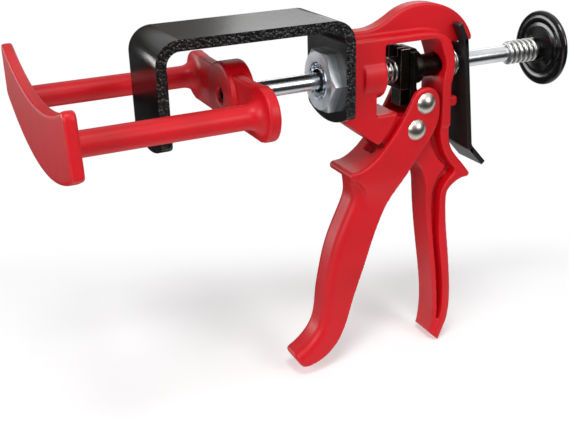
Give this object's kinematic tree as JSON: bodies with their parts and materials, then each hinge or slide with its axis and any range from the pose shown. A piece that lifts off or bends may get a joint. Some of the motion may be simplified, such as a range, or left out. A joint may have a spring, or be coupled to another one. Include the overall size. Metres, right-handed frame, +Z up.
{
  "type": "ratchet spreader gun",
  "caption": "Red pistol-grip hand spreader built like a caulking gun: trigger, one-way plates on a smooth rod, black hook bracket, two-bar pusher fork with a curved foot, pull knob.",
  "frame": {"origin": "on the rod axis, on the inner face of the bracket's front leg, which hooks behind the work", "axes": "+X runs along the rod from the foot to the pull knob, +Z up away from the handle, Y across the tool, which is symmetric about Y = 0"},
  "size_m": [0.2665, 0.1336, 0.1833],
  "materials": {
    "red_enamel": "satin stoved enamel on a die casting",
    "black_enamel": "gloss black enamel",
    "black_oxide_steel": "black oxide",
    "zinc_steel": "bright zinc plate",
    "bright_rod_steel": "drawn bright steel",
    "bronze": "turned bronze",
    "black_plastic": "moulded black"
  },
  "bodies": {
    "frame": {"gun_body": "red_enamel", "u_bracket": "black_enamel", "bracket_nut": "zinc_steel", "nose_sleeve": "zinc_steel", "front_rod_bush": "bronze", "rear_rod_bush": "black_oxide_steel", "trigger_pivot_rivet": "zinc_steel", "return_spring": "zinc_steel", "lever_spring": "zinc_steel"},
    "trigger_arm": {"trigger": "red_enamel", "drive_pin_rivet": "zinc_steel", "drive_sleeve": "zinc_steel"},
    "driver": {"driver_block": "black_oxide_steel", "front_grip_plate": "black_oxide_steel", "rear_grip_plate": "black_oxide_steel"},
    "lever": {"release_lever": "black_enamel"},
    "ram": {"thrust_rod": "bright_rod_steel", "pusher_fork": "red_enamel", "fork_screw": "black_oxide_steel", "knob": "black_plastic", "knob_insert": "black_oxide_steel", "buffer_spring": "zinc_steel"}
  },
  "joints": [
    {"name": "trigger_squeeze", "type": "hinge", "parent": "frame", "child": "trigger_arm", "pos_m": [0.12535, 0, -0.0282], "axis": [0, -1, 0], "range_deg": [0, 20], "stiffness_Nm_per_rad": 0.8, "springref_deg": -20.05},
    {"name": "driver_slide", "type": "slide", "parent": "frame", "child": "driver", "axis": [-1, 0, 0], "range_m": [0, 0.00457], "deforming": ["return_spring"]},
    {"name": "rod_slide", "type": "slide", "parent": "frame", "child": "ram", "axis": [-1, 0, 0], "range_m": [-0.035, 0.027]},
    {"name": "lever_press", "type": "hinge", "parent": "frame", "child": "lever", "pos_m": [0.14905, 0, 0.019], "axis": [0, 1, 0], "range_deg": [0, 3.5], "stiffness_Nm_per_rad": 1.5, "springref_deg": -3.44, "deforming": ["lever_spring"]}
  ],
  "couplings": [
    {"joint": "driver_slide", "follows": "trigger_squeeze", "m_per_rad": 0.013094}
  ]
}
